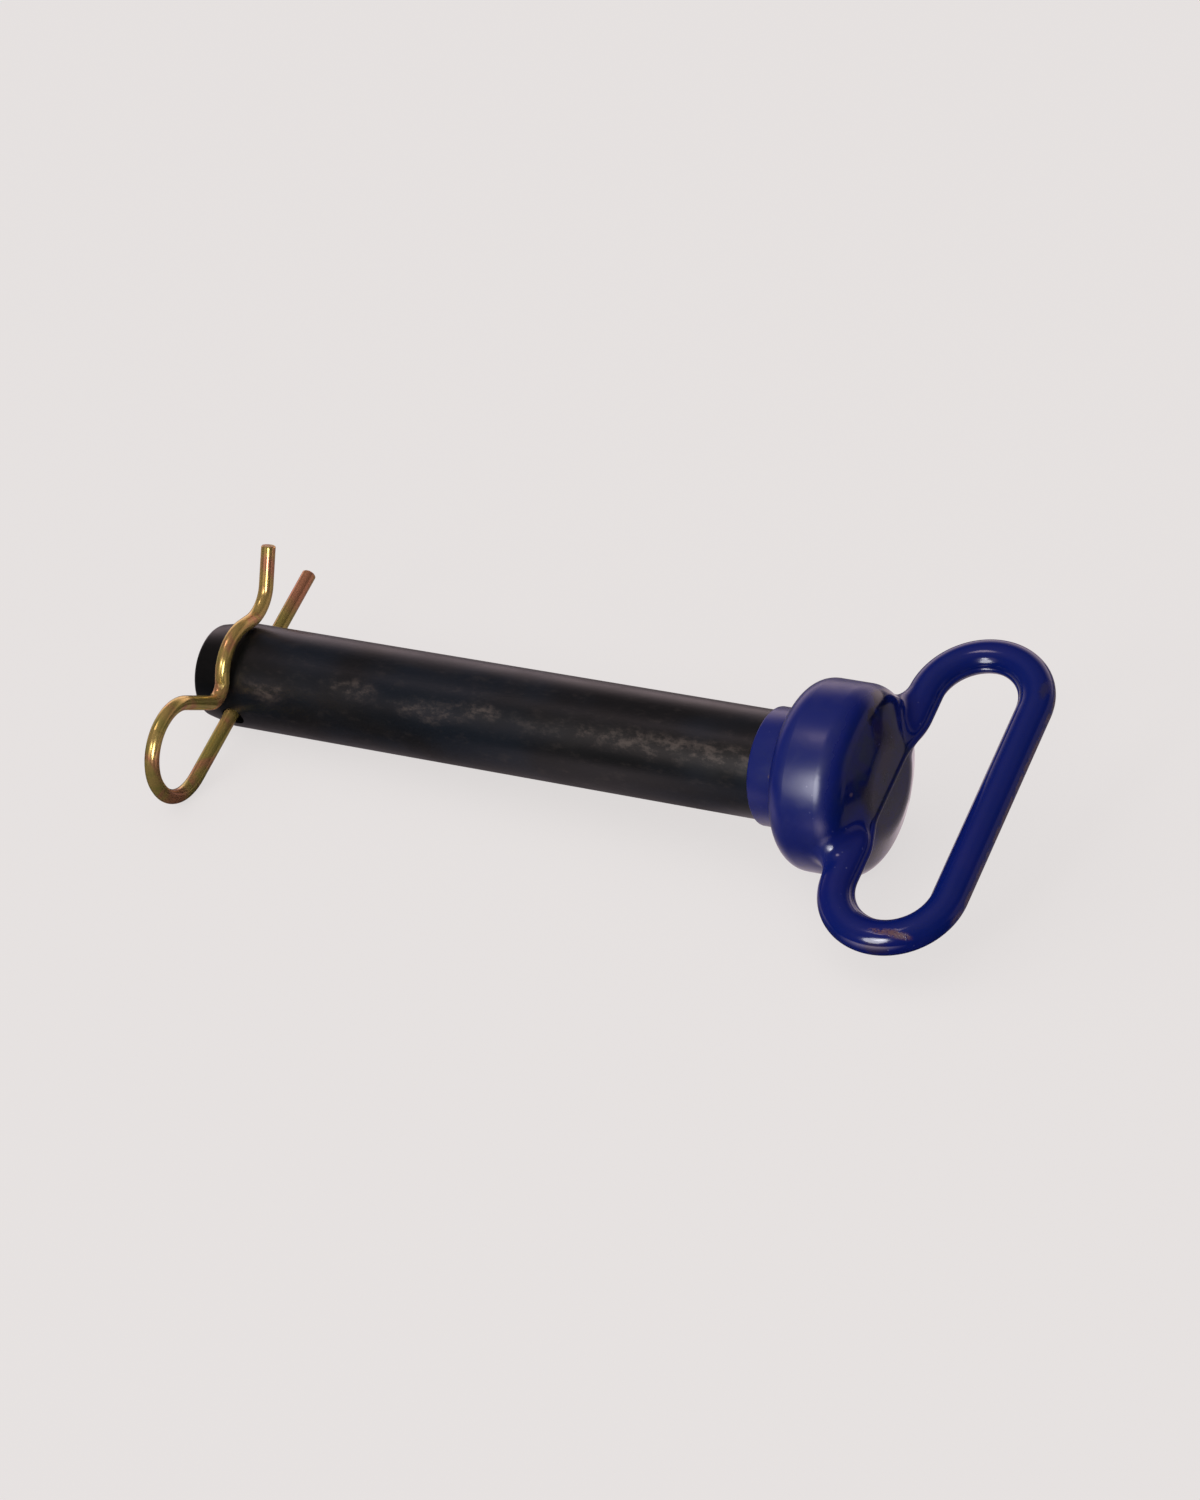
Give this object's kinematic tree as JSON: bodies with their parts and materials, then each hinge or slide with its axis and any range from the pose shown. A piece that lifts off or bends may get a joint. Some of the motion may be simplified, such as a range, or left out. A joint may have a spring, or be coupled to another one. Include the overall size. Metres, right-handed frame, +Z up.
{
  "type": "hitch pin",
  "caption": "Heavy hitch pin with a D-handle head, a plain round shank with a tapered tip, and a hairpin clip through its cross hole.",
  "frame": {"origin": "on the ground under the middle of the lying pin's bounding box", "axes": "+X from the tip to the handle along the pin's longest extent, which is parallel to the ground within 4 degrees of the shank; +Z up from the surface the pin lies on; the clip's bow points to -Y"},
  "size_m": [0.2372, 0.1008, 0.0505],
  "materials": {
    "black_oxide_steel": "satin black oxide",
    "blue_coating": "glossy blue coating",
    "yellow_zinc_wire": "yellow zinc plating"
  },
  "bodies": {
    "pin": {"shank": "black_oxide_steel", "head": "blue_coating"},
    "clip": {"hairpin_clip": "yellow_zinc_wire"}
  },
  "joints": [
    {"name": "clip_pull", "type": "slide", "parent": "pin", "child": "clip", "axis": [0.0208, -0.9396, -0.3416], "range_m": [0, 0.06], "deforming": ["hairpin_clip"]}
  ]
}
